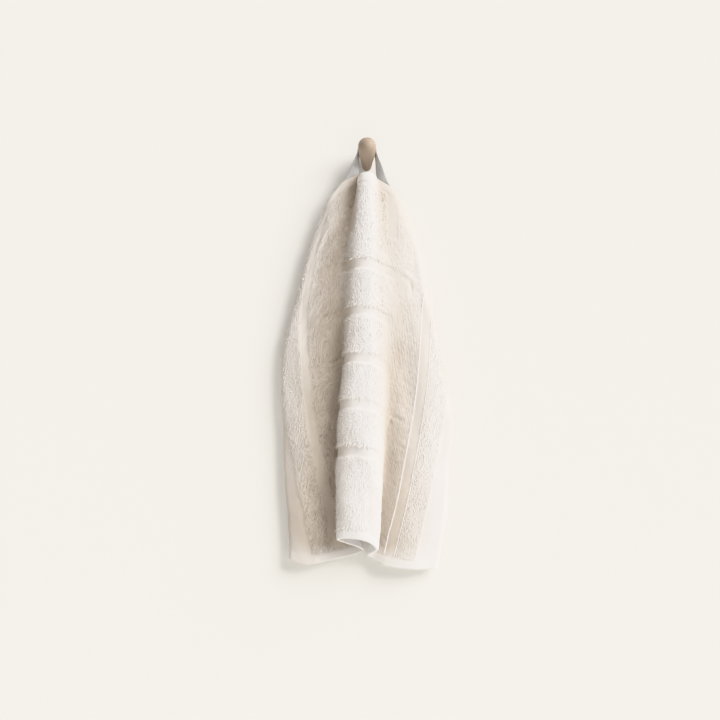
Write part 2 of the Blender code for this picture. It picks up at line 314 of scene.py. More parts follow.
class TowelClothSettings(bpy.types.PropertyGroup):
    terry_thickness: length_setting(
        "Terry thickness", "Cloth thickness through the loops on both faces", 0.0044, 0.002, 0.008
    )
    flat_thickness: length_setting(
        "Flat thickness", "Cloth thickness where it is woven flat", 0.0018, 0.001, 0.004
    )
    hem_thickness: length_setting(
        "Hem thickness", "Thickness of the turned and sewn hems", 0.0060, 0.001, 0.008
    )
    colour: colour_setting("Cotton", "Colour of the undyed cotton", (0.79, 0.77, 0.76))
    # The colour that the cotton is mixed towards where shade is painted into it, between loops and in the
    # folds.
    painted_shade_colour: colour_setting(
        "Cotton in the folds", "Colour of the cotton deep between loops and folds", (0.51, 0.445, 0.38)
    )


class TowelPileSettings(bpy.types.PropertyGroup):
    spacing: length_setting(
        "Loop spacing", "Least distance between neighbouring tufts of loops", 0.0031, 0.0015, 0.01
    )
    length: length_setting("Loop length", "Length of a tuft of loops", 0.0055, 0.001, 0.01)
    width: length_setting("Loop width", "Width of a tuft of loops", 0.0019, 0.0003, 0.004)
    seed: IntProperty(name="Seed", description="Seed of the loops' scatter", default=7, min=0)


class TowelTapeSettings(bpy.types.PropertyGroup):
    colour: colour_setting("Tape", "Colour of the woven tape", (0.60, 0.59, 0.585))


class TowelPegSettings(bpy.types.PropertyGroup):
    light_colour: colour_setting(
        "Light grain", "Colour of the wood between its rings", (0.38, 0.312, 0.25)
    )
    dark_colour: colour_setting("Dark grain", "Colour of the wood's rings", (0.29, 0.225, 0.17))


class TowelStageSettings(bpy.types.PropertyGroup):
    wall_colour: colour_setting("Wall", "Colour of the pale backdrop", (0.83, 0.814, 0.78))
    key_strength: FloatProperty(
        name="Key light", description="Strength of the soft light from the upper right",
        default=5.3, min=0.0, max=20.0,
    )
    key_spread: FloatProperty(
        name="Key spread", description="How wide the soft light is, seen from the towel",
        default=math.radians(42), min=0.0, max=math.radians(90), subtype="ANGLE",
    )
    fill_strength: FloatProperty(
        name="Fill light", description="Strength of the even light all round",
        default=0.29, min=0.0, max=5.0,
    )


# ---- Helpers ----


def smooth(at, places, values):
    """A smooth curve through values at rising or falling places, held level past both ends."""
    at = np.asarray(at, dtype=float)
    places = np.asarray(places, dtype=float)
    values = np.asarray(values, dtype=float)
    if places[0] > places[-1]:
        places = places[::-1]
        values = values[::-1]
    index = np.arange(len(places))
    low = np.maximum(index - 1, 0)
    high = np.minimum(index + 1, len(places) - 1)
    slopes = (values[high] - values[low]) / (places[high] - places[low])
    at = np.clip(at, places[0], places[-1])
    i = np.clip(np.searchsorted(places, at, side="right") - 1, 0, len(places) - 2)
    step = places[i + 1] - places[i]
    t = (at - places[i]) / step
    return (
        values[i] * (1 + 2 * t) * (1 - t) ** 2
        + slopes[i] * step * t * (1 - t) ** 2
        + values[i + 1] * t * t * (3 - 2 * t)
        + slopes[i + 1] * step * t * t * (t - 1)
    )


def soft_step(value, start, end):
    """0 before start, 1 after end, smooth between; start may be the greater one."""
    t = np.clip((np.asarray(value, dtype=float) - start) / (end - start), 0.0, 1.0)
    return t * t * (3 - 2 * t)


def band(value, middle, half):
    """1 within half of the middle, 0 outside, with an edge as soft as the weave's."""
    return 1 - soft_step(np.abs(value - middle), half - WEAVE_EDGE / 2, half + WEAVE_EDGE / 2)


def patch_share(patch, across, down):
    """1 inside a patch of the cloth and 0 outside."""
    share = soft_step(across, *patch.rise) * (1 - soft_step(across, *patch.fall))
    return share * soft_step(down, *patch.down)


def mixed(start, end, share):
    return start + (end - start) * share


def unit(vectors):
    return vectors / np.linalg.norm(vectors, axis=-1, keepdims=True)


def from_hem(down):
    """The distance from the nearer hem."""
    return np.minimum(down, TOWEL_LENGTH - down)


def grid_faces(rows, columns, first, flip):
    """Quads of a grid of points stored row by row, starting at index first."""
    row, column = np.meshgrid(np.arange(rows - 1), np.arange(columns - 1), indexing="ij")
    a = first + row * columns + column
    quads = np.stack((a, a + columns, a + columns + 1, a + 1), axis=-1).reshape(-1, 4)
    return quads[:, ::-1] if flip else quads


def tube_faces(rings, sides):
    """Quads round a tube of rings of points stored one after the other."""
    faces = []
    for i in range(rings - 1):
        for k in range(sides):
            after = (k + 1) % sides
            faces.append((i * sides + k, i * sides + after, (i + 1) * sides + after, (i + 1) * sides + k))
    return faces


def placed(name, data):
    thing = bpy.data.objects.new(name, data)
    bpy.context.scene.collection.objects.link(thing)
    return thing


def mesh_object(name, points, faces, edges=()):
    mesh = bpy.data.meshes.new(name)
    mesh.from_pydata([tuple(p) for p in points], edges, [tuple(int(i) for i in f) for f in faces])
    mesh.validate()
    mesh.shade_smooth()
    return placed(name, mesh)


def store(mesh, name, values, kind="FLOAT", field="value"):
    attribute = mesh.attributes.new(name, kind, "POINT")
    attribute.data.foreach_set(field, np.asarray(values, dtype=np.float32).ravel())


def store_uv(mesh, places):
    """Stores one UV for each vertex on all its corners."""
    layer = mesh.uv_layers.new(name="cloth_place")
    corner_vertex = np.empty(len(mesh.loops), dtype=np.int32)
    mesh.loops.foreach_get("vertex_index", corner_vertex)
    layer.data.foreach_set("uv", np.asarray(places, dtype=np.float32)[corner_vertex].ravel())


def put(tree, socket, value):
    """Sets an input to a value, or links it to another node's output."""
    if isinstance(value, bpy.types.NodeSocket):
        tree.links.new(value, socket)
    else:
        socket.default_value = value


def add_node(tree, kind, **values):
    """Adds a node, with its properties and inputs by name; an underscore stands for a space."""
    node = tree.nodes.new(kind)
    for key, value in values.items():
        label = key.replace("_", " ")
        if label in node.inputs:
            put(tree, node.inputs[label], value)
        else:
            setattr(node, key, value)
    return node


def new_material(name, **inputs):
    material = bpy.data.materials.new(name)
    material.use_nodes = True
    tree = material.node_tree
    shader = tree.nodes["Principled BSDF"]
    for key, value in inputs.items():
        shader.inputs[key.replace("_", " ")].default_value = value
    return material, tree, shader


def combined(tree, operation, first, second, kind="ShaderNodeMath"):
    node = add_node(tree, kind, operation=operation)
    put(tree, node.inputs[0], first)
    put(tree, node.inputs[1], second)
    return node.outputs[0]


def plus(tree, first, second):
    return combined(tree, "ADD", first, second)


def times(tree, first, second):
    return combined(tree, "MULTIPLY", first, second)


def pattern(tree, kind, place, **values):
    """A texture at a place in space or in the cloth, from 0 to 1."""
    return add_node(tree, kind, Vector=place, **values).outputs["Fac"]


def mixed_colour(tree, share, first, second):
    """A colour that goes from first to second as share goes from 0 to 1."""
    node = add_node(tree, "ShaderNodeMix", data_type="RGBA")
    put(tree, node.inputs[0], share)
    node.inputs[6].default_value = (*first, 1.0)
    node.inputs[7].default_value = (*second, 1.0)
    return node.outputs[2]


def mixed_shader(tree, share, first, second, output):
    node = tree.nodes.new("ShaderNodeMixShader")
    for socket, value in zip(node.inputs, (share, first, second)):
        put(tree, socket, value)
    tree.links.new(node.outputs[0], tree.nodes[output].inputs["Surface"])


def finish_shader(tree, shader, colour, height, strength, distance):
    """Gives a shader its colour and its bump."""
    tree.links.new(colour, shader.inputs["Base Color"])
    bump = add_node(tree, "ShaderNodeBump", Strength=strength, Distance=distance, Height=height)
    tree.links.new(bump.outputs[0], shader.inputs["Normal"])


def baked(thing, name):
    """The object's evaluated shape as a plain mesh object of its own."""
    graph = bpy.context.evaluated_depsgraph_get()
    mesh = bpy.data.meshes.new_from_object(thing.evaluated_get(graph), depsgraph=graph)
    mesh.name = name
    source = thing.data
    bpy.data.objects.remove(thing, do_unlink=True)
    bpy.data.meshes.remove(source)
    return placed(name, mesh)


def add_nodes_modifier(thing, tree, **values):
    """Adds a Geometry Nodes modifier; its inputs are found by name and set by identifier."""
    modifier = thing.modifiers.new(tree.name, "NODES")
    modifier.node_group = tree
    for item in tree.interface.items_tree:
        if item.item_type == "SOCKET" and item.in_out == "INPUT" and item.name in values:
            modifier[item.identifier] = values[item.name]


# ---- The drape ----


def section_lines(down):
    """For each distance down: a line of x, out and drop, and the place in the cloth along it.

    Each line is a centripetal Catmull-Rom curve through the fold lines.
    """
    share = down / TOWEL_LENGTH
    marks = []
    for fold in FOLDS:
        x = smooth(down, LEVELS, fold.across)
        out = smooth(down, LEVELS, fold.out)
        marks.append(np.stack((x, out, mixed(*fold.drop, share)), axis=-1))
    marks = np.stack(marks, axis=1)
    first = 2 * marks[:, :1] - marks[:, 1:2]
    last = 2 * marks[:, -1:] - marks[:, -2:-1]
    guides = np.concatenate((first, marks, last), axis=1)
    gaps = np.sqrt(np.linalg.norm(np.diff(guides, axis=1), axis=2))
    start = np.zeros((len(down), 1))
    knots = np.concatenate((start, np.cumsum(gaps, axis=1)), axis=1)
    steps = np.arange(SPAN_STEPS) / SPAN_STEPS
    spans = []
    for i in range(1, len(FOLDS)):
        p0, p1, p2, p3 = (guides[:, k, None, :] for k in range(i - 1, i + 3))
        t0, t1, t2, t3 = (knots[:, k, None, None] for k in range(i - 1, i + 3))
        t = t1 + (t2 - t1) * steps[None, :, None]
        a1 = mixed(p0, p1, (t - t0) / (t1 - t0))
        a2 = mixed(p1, p2, (t - t1) / (t2 - t1))
        a3 = mixed(p2, p3, (t - t2) / (t3 - t2))
        b1 = mixed(a1, a2, (t - t0) / (t2 - t0))
        b2 = mixed(a2, a3, (t - t1) / (t3 - t1))
        spans.append(mixed(b1, b2, (t - t1) / (t2 - t1)))
    line = np.concatenate(spans + [marks[:, -1:]], axis=1)
    run = np.cumsum(np.linalg.norm(np.diff(line, axis=1), axis=2), axis=1)
    run = np.concatenate((start, run), axis=1)
    known = [f.name for f in FOLDS].index("column_front_right") * SPAN_STEPS
    place = run + (smooth(down, *zip(*COLUMN_CLOTH)) - run[:, known])[:, None]
    return line, place


def turn_at(z, side):
    """The outline's x, its lean from upright and the turn's radius at heights z; side is -1 or 1."""
    heights = [t.z for t in TURNS]
    edge = [t.left if side < 0 else t.right for t in TURNS]
    radii = [t.left_radius if side < 0 else t.right_radius for t in TURNS]
    spread = smooth(z - LEAN_REACH, heights, edge) - smooth(z + LEAN_REACH, heights, edge)
    lean = np.arctan2(side * spread, 2 * LEAN_REACH)
    return smooth(z, heights, edge), lean, smooth(z, heights, radii)


def resting(out):
    """Keeps the cloth from passing through the wall: it flattens where it comes close."""
    spare = out - WALL_REST
    return WALL_REST + (spare + np.sqrt(spare**2 + WALL_SOFTNESS**2)) / 2


def folded_back(x, out, z):
    """Turns the cloth that lies past a side outline round and back behind the towel."""
    for side in (-1, 1):
        edge, lean, radius = turn_at(z, side)
        past = (x - edge) * side * np.cos(lean)
        angle = (past + radius) / radius
        curled = angle < math.pi
        kept = np.where(curled, radius * (np.sin(angle) - 1), -radius - (past + radius - math.pi * radius))
        back = np.where(curled, radius * (1 - np.cos(angle)), 2 * radius)
        moved = np.where(angle > 0, kept - past, 0.0)
        out = out - np.where(angle > 0, back, 0.0)
        x = x + side * moved * np.cos(lean)
        z = z + moved * np.sin(lean)
    return x, resting(out), z


def drape(across, down):
    """The middle of the cloth, in metres, on a grid of places: rows down, columns across."""
    line, place = section_lines(down)
    far = 2 * TOWEL_WIDTH
    grid = np.empty((len(down), len(across), 3))
    for row in range(len(down)):
        places = np.concatenate(([place[row, 0] - far], place[row], [place[row, -1] + far]))
        ends = line[row, [0, -1]] + np.array(((-far, 0, 0), (far, 0, 0)))
        points = np.concatenate((ends[:1], line[row], ends[1:]))
        for k in range(3):
            grid[row, :, k] = np.interp(across, places, points[:, k])
    z = HEM_TOP_Z - grid[..., 2] - down[:, None]
    x, out, z = folded_back(grid[..., 0], grid[..., 1], z)
    return np.stack((x, -out, z), axis=-1) * MM


def facing(points):
    """Unit directions square to the draped cloth, out of its front, and down along it."""
    down_way = np.gradient(points, axis=0)
    return unit(np.cross(down_way, np.gradient(points, axis=1))), unit(down_way)


# ---- The weave's relief ----


def terry_share(across, down):
    """1 where the cloth is terry and 0 where it is woven flat."""
    side = np.abs(across)
    terry = 1 - soft_step(side, BORDER_START - WEAVE_EDGE / 2, BORDER_START + WEAVE_EDGE / 2)
    terry = terry * (1 - band(side, CENTRE_HALF + STRIPE_HALF, STRIPE_HALF))
    clear = mixed(BAR_TRACE * (across < 0), 1.0, patch_share(CLEAR_BARS, across, down))
    for bar in BAR_PLACES:
        terry = terry * (1 - clear * band(down, bar, BAR_HEIGHT / 2))
    end = HEM_BAND + END_STRIPE_LENGTH
    end_stripe = band(side, END_STRIPE_PLACE, END_STRIPE_HALF)
    terry = terry * (1 - end_stripe * (1 - soft_step(from_hem(down), end - WEAVE_EDGE, end)))
    return terry * soft_step(from_hem(down), HEM_BAND, HEM_BAND + WEAVE_EDGE)


def fringe_share(down):
    """1 just above each flat bar and the bottom hem, where the loops hang longest."""
    share = np.zeros_like(down)
    for edge in [bar - BAR_HEIGHT / 2 for bar in BAR_PLACES] + [TOWEL_LENGTH - HEM_BAND]:
        above = edge - down
        share = np.maximum(share, soft_step(above, *FRINGE_RISE) * soft_step(above, *FRINGE_END))
    return share


def hem_share(down):
    return 1 - soft_step(from_hem(down), HEM_BAND - HEM_SOFTNESS, HEM_BAND)


def crease_height(across, down):
    height = np.zeros_like(across)
    for crease in CREASES:
        turn = math.radians(crease.angle)
        dx = across - crease.across
        dy = crease.down - down
        along = (dx * math.cos(turn) + dy * math.sin(turn)) / crease.length
        off = (-dx * math.sin(turn) + dy * math.cos(turn)) / crease.width
        height += crease.height * np.exp(-(along**2) - off**2)
    return height


def ripple_height(across, down):
    height = np.zeros_like(across)
    for wave in RIPPLES:
        height += wave.height * np.sin(wave.by_across * across + wave.by_down * down + wave.start)
    return height


# ---- Finishes ----

NOISE = "ShaderNodeTexNoise"
WAVE = "ShaderNodeTexWave"


def cotton_material(settings):
    """Cream cotton: looped and uneven where it is terry, a fine plain weave where it is flat, with painted
    shade between its tufts and in the hollows between folds.
    """
    material, tree, shader = new_material(
        "cream_cotton", Roughness=0.93, Sheen_Weight=0.25, Sheen_Roughness=0.6, Specular_IOR_Level=0.2
    )
    uv = add_node(tree, "ShaderNodeUVMap", uv_map="cloth_place").outputs[0]
    metres = (TOWEL_WIDTH * MM, TOWEL_LENGTH * MM, 1.0)
    place = add_node(tree, "ShaderNodeMapping", Scale=metres, Vector=uv).outputs[0]
    terry = add_node(tree, "ShaderNodeAttribute", attribute_name="terry").outputs["Fac"]
    painted_shade = add_node(tree, "ShaderNodeAttribute", attribute_name="painted_shade").outputs["Fac"]

    slant = (0.0, 0.0, math.radians(28))
    slanted = add_node(tree, "ShaderNodeMapping", Rotation=slant, Scale=(1.0, 0.45, 1.0), Vector=place)
    tufts = pattern(tree, NOISE, slanted.outputs[0], Scale=420.0, Detail=2.0, Roughness=0.6)
    wales = pattern(tree, WAVE, place, Scale=95.0, Distortion=3.0, Detail=2.0, Detail_Scale=2.5)
    loops = plus(tree, times(tree, wales, 0.45), tufts)
    warp = pattern(tree, WAVE, place, Scale=260.0, Distortion=0.6, Detail=1.0)
    weft = pattern(tree, WAVE, place, Scale=220.0, Distortion=0.6, Detail=1.0, bands_direction="Y")
    flat = times(tree, times(tree, warp, weft), 0.25)
    height = add_node(tree, "ShaderNodeMix", data_type="FLOAT")
    for socket, value in zip((height.inputs[0], height.inputs[2], height.inputs[3]), (terry, flat, loops)):
        put(tree, socket, value)

    mottle = pattern(tree, NOISE, place, Scale=34.0, Detail=3.0, Roughness=0.55)
    # Painted shade: darker between the tufts, where the loops shade each other, and in the hollows between
    # folds; the spots are the cotton's own uneven tone.
    gaps = times(tree, times(tree, combined(tree, "SUBTRACT", 1.0, tufts), 0.20), terry)
    spots = times(tree, combined(tree, "SUBTRACT", mottle, 0.5), 0.25)
    depth = plus(tree, plus(tree, gaps, spots), times(tree, painted_shade, FOLD_SHADE))
    colour = mixed_colour(tree, depth, settings.colour, settings.painted_shade_colour)
    finish_shader(tree, shader, colour, height.outputs[0], strength=0.55, distance=0.0012)
    return material


def loop_material(settings):
    """The tufts' cotton, a little uneven in tone from tuft to tuft, with the painted shade of the hollows
    between folds.
    """
    material, tree, shader = new_material(
        "terry_loops", Roughness=0.95, Sheen_Weight=0.2, Sheen_Roughness=0.6, Specular_IOR_Level=0.15
    )
    painted_shade = add_node(tree, "ShaderNodeAttribute", attribute_name="painted_shade").outputs["Fac"]
    where = add_node(tree, "ShaderNodeTexCoord").outputs["Object"]
    grain = pattern(tree, NOISE, where, Scale=170.0, Detail=2.0)
    uneven = times(tree, combined(tree, "SUBTRACT", grain, 0.4), 0.5)
    # Uneven tone from tuft to tuft, plus the painted shade of the folds.
    depth = plus(tree, uneven, times(tree, painted_shade, FOLD_SHADE))
    colour = mixed_colour(tree, depth, settings.colour, settings.painted_shade_colour)
    tree.links.new(colour, shader.inputs["Base Color"])
    return material


def tape_material(settings):
    """Narrow woven cotton tape: fine ribs across it, finer warp threads along it, and flecks of tone."""
    material, tree, shader = new_material("woven_tape", Roughness=0.85, Sheen_Weight=0.15)
    place = add_node(tree, "ShaderNodeUVMap", uv_map="cloth_place").outputs[0]
    ribs = pattern(tree, WAVE, place, Scale=260.0, Distortion=0.4, bands_direction="Y")
    warp = pattern(tree, WAVE, place, Scale=330.0, Distortion=0.3)
    fleck = pattern(tree, NOISE, place, Scale=900.0, Detail=2.0)
    darker = [c * 0.86 for c in settings.colour]
    lighter = [min(1.0, c * 1.14) for c in settings.colour]
    colour = mixed_colour(tree, fleck, darker, lighter)
    height = plus(tree, ribs, times(tree, warp, 0.5))
    finish_shader(tree, shader, colour, height, strength=0.4, distance=0.0004)
    return material


def wood_material(settings):
    """Turned pale wood: grain along the peg, drawn out rings across its domed end, a soft oil finish."""
    material, tree, shader = new_material("turned_wood", Roughness=0.55, Specular_IOR_Level=0.35)
    where = add_node(tree, "ShaderNodeTexCoord").outputs["Object"]
    along = (math.pi / 2 - PEG_TILT, 0.0, 0.0)
    heart = (0.011, 0.006, 0.0)
    turned = add_node(tree, "ShaderNodeMapping", Rotation=along, Location=heart, Vector=where).outputs[0]
    grain = add_node(tree, "ShaderNodeMapping", Scale=(1.0, 1.0, 0.12), Vector=turned).outputs[0]
    rings = pattern(
        tree, WAVE, grain, wave_type="RINGS", rings_direction="Z",
        Scale=115.0, Distortion=2.2, Detail=3.0, Detail_Scale=1.4,
    )
    pores = pattern(tree, NOISE, grain, Scale=900.0, Detail=3.0, Roughness=0.7)
    share = times(tree, plus(tree, rings, pores), 0.5)
    colour = mixed_colour(tree, share, settings.light_colour, settings.dark_colour)
    finish_shader(tree, shader, colour, pores, strength=0.15, distance=0.0003)
    return material


def stage_material(name, colour, one_sided):
    """A plain matt backdrop; one-sided, it is clear when seen from behind."""
    material, tree, shader = new_material(name, Roughness=1.0, Specular_IOR_Level=0.0)
    shader.inputs["Base Color"].default_value = (*colour, 1.0)
    if one_sided:
        behind = add_node(tree, "ShaderNodeNewGeometry").outputs["Backfacing"]
        clear = add_node(tree, "ShaderNodeBsdfTransparent").outputs[0]
        mixed_shader(tree, behind, shader.outputs[0], clear, "Material Output")
    return material


# ---- Geometry Nodes ----


def new_tree(name, inputs):
    """A Geometry Nodes tree with a geometry input and output and the named inputs."""
    tree = bpy.data.node_groups.new(name, "GeometryNodeTree")
    tree.interface.new_socket("Geometry", in_out="INPUT", socket_type="NodeSocketGeometry")
    for label, kind in inputs:
        tree.interface.new_socket(label, in_out="INPUT", socket_type=kind)
    tree.interface.new_socket("Geometry", in_out="OUTPUT", socket_type="NodeSocketGeometry")
    return tree, tree.nodes.new("NodeGroupInput").outputs


def finish_tree(tree, shape, material):
    """Ends a tree: its instances are made real and take the material."""
    real = add_node(tree, "GeometryNodeRealizeInstances", Geometry=shape).outputs[0]
    finish = add_node(tree, "GeometryNodeSetMaterial", Geometry=real, Material=material).outputs[0]
    add_node(tree, "NodeGroupOutput", Geometry=finish)


def attribute(tree, name, kind="FLOAT"):
    node = add_node(tree, "GeometryNodeInputNamedAttribute", data_type=kind, Name=name)
    return node.outputs["Attribute"]


def random_between(tree, kind, first_input, limits, seed):
    """A random value for each tuft. first_input: where the node keeps the lower limit of its kind."""
    node = add_node(tree, "FunctionNodeRandomValue", data_type=kind, Seed=seed)
    for offset, limit in enumerate(limits):
        node.inputs[first_input + offset].default_value = limit
    return next(socket for socket in node.outputs if socket.enabled)


def pile_tree():
    """Tufts of loops scattered on the terry, leaning down the cloth and longest above the flat bars."""
    tree, given = new_tree(
        "terry pile",
        (
            ("Spacing", "NodeSocketFloat"),
            ("Length", "NodeSocketFloat"),
            ("Width", "NodeSocketFloat"),
            ("Seed", "NodeSocketInt"),
            ("Material", "NodeSocketMaterial"),
        ),
    )
    scatter = add_node(
        tree, "GeometryNodeDistributePointsOnFaces", distribute_method="POISSON",
        Mesh=given["Geometry"], Distance_Min=given["Spacing"], Density_Max=LOOP_DENSITY,
        Density_Factor=attribute(tree, "terry"), Seed=given["Seed"],
    )
    ball = add_node(tree, "GeometryNodeMeshUVSphere", Segments=4, Rings=2, Radius=0.5).outputs["Mesh"]
    rise = (0.0, 0.0, TUFT_RISE)
    tuft = add_node(tree, "GeometryNodeTransform", Translation=rise, Geometry=ball).outputs[0]

    up = add_node(
        tree, "ShaderNodeVectorMath", operation="SCALE", Vector=scatter.outputs["Normal"], Scale=LOOP_STAND
    ).outputs[0]
    way = combined(tree, "ADD", attribute(tree, "down_way", "FLOAT_VECTOR"), up, "ShaderNodeVectorMath")
    lean = random_between(tree, "FLOAT_VECTOR", 0, LOOP_LEAN, given["Seed"])
    way = combined(tree, "ADD", way, lean, "ShaderNodeVectorMath")
    turn = add_node(tree, "FunctionNodeAlignRotationToVector", axis="Z", Vector=way).outputs[0]

    size = random_between(tree, "FLOAT", 2, LOOP_SIZES, given["Seed"])
    longer = plus(tree, times(tree, attribute(tree, "fringe"), FRINGE_GROWTH), 1.0)
    length = times(tree, times(tree, given["Length"], size), longer)
    shape = add_node(tree, "ShaderNodeCombineXYZ", X=given["Width"], Y=given["Width"], Z=length).outputs[0]
    place = add_node(
        tree, "GeometryNodeInstanceOnPoints",
        Points=scatter.outputs["Points"], Instance=tuft, Rotation=turn, Scale=shape,
    )
    finish_tree(tree, place.outputs[0], given["Material"])
    return tree


def rib_tree():
    """Cords swept along the lines where terry and flat stripes meet."""
    tree, given = new_tree("rib cords", (("Radius", "NodeSocketFloat"), ("Material", "NodeSocketMaterial")))
    curve = add_node(tree, "GeometryNodeMeshToCurve", Mesh=given["Geometry"]).outputs[0]
    circle = add_node(
        tree, "GeometryNodeCurvePrimitiveCircle", Resolution=RIB_SIDES, Radius=given["Radius"]
    ).outputs[0]
    sweep = add_node(
        tree, "GeometryNodeCurveToMesh", Curve=curve, Profile_Curve=circle, Fill_Caps=True
    ).outputs[0]
    finish_tree(tree, sweep, given["Material"])
    return tree


# ---- Pieces ----


def edge_graded(length, step):
    """Places from 0 to length: close together near both ends, and step apart between."""
    count = int(round((length - 2 * EDGE_ZONE) / step))
    middle = np.linspace(EDGE_ZONE, length - EDGE_ZONE, count + 1)
    ends = np.array(EDGE_PLACES)
    return np.concatenate((ends, middle, length - ends[::-1]))


class HungCloth:
    """The draped towel on its fine grid, with its weave's relief.

    u and v are the grid's places across and down; terry, fringe and the share of painted shade are given at
    each.
    """

    def __init__(self, settings):
        self.across = edge_graded(TOWEL_WIDTH, ACROSS_STEP) - TOWEL_WIDTH / 2
        self.down = edge_graded(TOWEL_LENGTH, DOWN_STEP)
        self.u, self.v = np.meshgrid(self.across, self.down)
        smooth_cloth = drape(self.across, self.down)
        lift = crease_height(self.u, self.v) + ripple_height(self.u, self.v)
        self.middle = smooth_cloth + facing(smooth_cloth)[0] * (lift * MM)[..., None]
        self.normal, self.down_way = facing(self.middle)
        self.terry = terry_share(self.u, self.v)
        clumps = np.random.default_rng(CLUMP_SEED).normal(0.0, CLUMP_HEIGHT, self.u.shape) * self.terry
        self.clumps = clumps * soft_step(from_hem(self.v), *CLUMP_FADE) * MM
        fringe = fringe_share(self.v) * self.within(FRINGED)
        self.fringe = (fringe - SHORT_SHARE * self.within(SHORT_LOOPS)) * self.terry
        self.half = self.half_thickness(settings)
        self.painted_shade = self.painted_shade_share()

    def within(self, patch):
        return patch_share(patch, self.u, self.v)

    def half_thickness(self, settings):
        inner = 1 - soft_step(np.abs(self.u), *RELIEF_ACROSS)
        relief = mixed(LOW_RELIEF, 1.0, inner * soft_step(from_hem(self.v), *RELIEF_DOWN))
        half = mixed(settings.terry_thickness, settings.flat_thickness, (1 - self.terry) * relief) / 2
        half = mixed(half, settings.hem_thickness / 2, hem_share(self.v))
        for distance in (from_hem(self.v), TOWEL_WIDTH / 2 - np.abs(self.u)):
            short = np.clip(1 - distance / EDGE_ROUNDING, 0.0, 1.0)
            half = half * np.sqrt(1 - EDGE_THINNING * short**2)
        return half

    def painted_shade_share(self):
        """The share of painted shade at each place: 0 where the cloth stands out, 1 deep in a valley between
        folds, then less or more in patches.
        """
        out = -self.middle[..., 1] / MM
        x = self.middle[..., 0] / MM
        share = np.zeros_like(out)
        for row in range(out.shape[0]):
            higher = out[row][None, :] - out[row][:, None]
            near = np.exp(-2 * ((x[row][None, :] - x[row][:, None]) / PAINTED_SHADE_REACH) ** 2)
            share[row] = np.max(np.clip(higher, 0, PAINTED_SHADE_DEPTH) * near, axis=1) / PAINTED_SHADE_DEPTH
        # Painted shade taken off or added in patches, on the flat weave and on the left border; less near the
        # bottom hem and where the cloth turns to the wall.
        for patch, part in LESS_PAINTED_SHADE:
            share = share * (1 - part * self.within(patch))
        for patch, part in MORE_PAINTED_SHADE:
            share = share + part * self.within(patch)
        share = share * mixed(HEM_PAINTED_SHADE, 1.0, soft_step(TOWEL_LENGTH - self.v, 0, HEM_SHADE_REACH))
        flat = (1 - self.terry) * (1 - hem_share(self.v))
        stripes = flat * (1 - soft_step(np.abs(self.u), BORDER_START - STRIPE_SHADE_FADE, BORDER_START))
        share = share + STRIPE_PAINTED_SHADE * stripes + BAR_PAINTED_SHADE.share * flat * self.within(BAR_PAINTED_SHADE.patch)
        share = share + LEFT_BORDER_PAINTED_SHADE.share * self.within(LEFT_BORDER_PAINTED_SHADE.patch)
        return np.clip(share, 0, 1) * mixed(TURNED_PAINTED_SHADE, 1.0, soft_step(-self.normal[..., 1], *TURNED_FACING))

    def face(self, side):
        """Points on the front (1) or back (-1) of the cloth."""
        return self.middle + self.normal * (side * (self.half + self.clumps))[..., None]

    def uv(self):
        return np.stack((self.u / TOWEL_WIDTH + 0.5, 1 - self.v / TOWEL_LENGTH), axis=-1).reshape(-1, 2)


def make_cloth(cloth, material):
    """The towel itself: front and back faces joined round the four edges."""
    rows, columns = cloth.u.shape
    other = rows * columns
    points = np.concatenate((cloth.face(1).reshape(-1, 3), cloth.face(-1).reshape(-1, 3)))
    faces = [grid_faces(rows, columns, 0, False), grid_faces(rows, columns, other, True)]
    index = np.arange(other).reshape(rows, columns)
    rim = np.concatenate((index[0, :-1], index[:-1, -1], index[-1, :0:-1], index[:0:-1, 0]))
    after = np.roll(rim, -1)
    faces.append(np.stack((rim, after, after + other, rim + other), axis=-1))
    towel = mesh_object("terry_towel", points, np.concatenate(faces))
    terry, painted_shade, uv = cloth.terry.ravel(), cloth.painted_shade.ravel(), cloth.uv()
    store(towel.data, "terry", np.concatenate((terry, terry)))
    # The painted shade share, smaller on the back face.
    store(towel.data, "painted_shade", np.concatenate((painted_shade, BACK_PAINTED_SHADE * painted_shade)))
    store_uv(towel.data, np.concatenate((uv, uv)))
    towel.data.materials.append(material)
    return towel


def make_pile(cloth, side, name, settings, material):
    """The tufts of one face of the cloth: the front (1) or the back (-1)."""
    rows, columns = cloth.u.shape
    roots = cloth.middle + cloth.normal * (side * (cloth.half - LOOP_ROOT * MM))[..., None]
    base = mesh_object(name, roots.reshape(-1, 3), grid_faces(rows, columns, 0, side < 0))
    # The back tufts take a smaller share of the painted shade.
    fringe, shade_part, length = (1, 1, 1) if side > 0 else (0, BACK_PAINTED_SHADE, BACK_LOOPS)
    store(base.data, "terry", cloth.terry)
    store(base.data, "fringe", fringe * cloth.fringe)
    store(base.data, "painted_shade", shade_part * cloth.painted_shade)
    store(base.data, "down_way", cloth.down_way, "FLOAT_VECTOR", "vector")
    add_nodes_modifier(
        base, pile_tree(), Spacing=settings.spacing, Length=settings.length * length,
        Width=settings.width, Seed=settings.seed + side, Material=material,
    )
    return baked(base, name)


def make_ribs(cloth, material):
    """The cords that edge the two long flat stripes, on the front of the cloth."""
    points = []
    edges = []
    inner = (cloth.down > HEM_BAND) & (cloth.down < TOWEL_LENGTH - HEM_BAND)
    for rib in RIBS:
        column = int(np.argmin(np.abs(cloth.across - rib.across)))
        line = cloth.middle[inner, column] + cloth.normal[inner, column] * rib.lift * MM
        first = len(points)
        points += list(line)
        edges += [(first + k, first + k + 1) for k in range(len(line) - 1)]
    lines = mesh_object("stripe_ribs", points, [], edges)
    add_nodes_modifier(lines, rib_tree(), Radius=RIB_RADIUS * MM, Material=material)
    ribs = baked(lines, "stripe_ribs")
    ribs.data.shade_smooth()
    return ribs


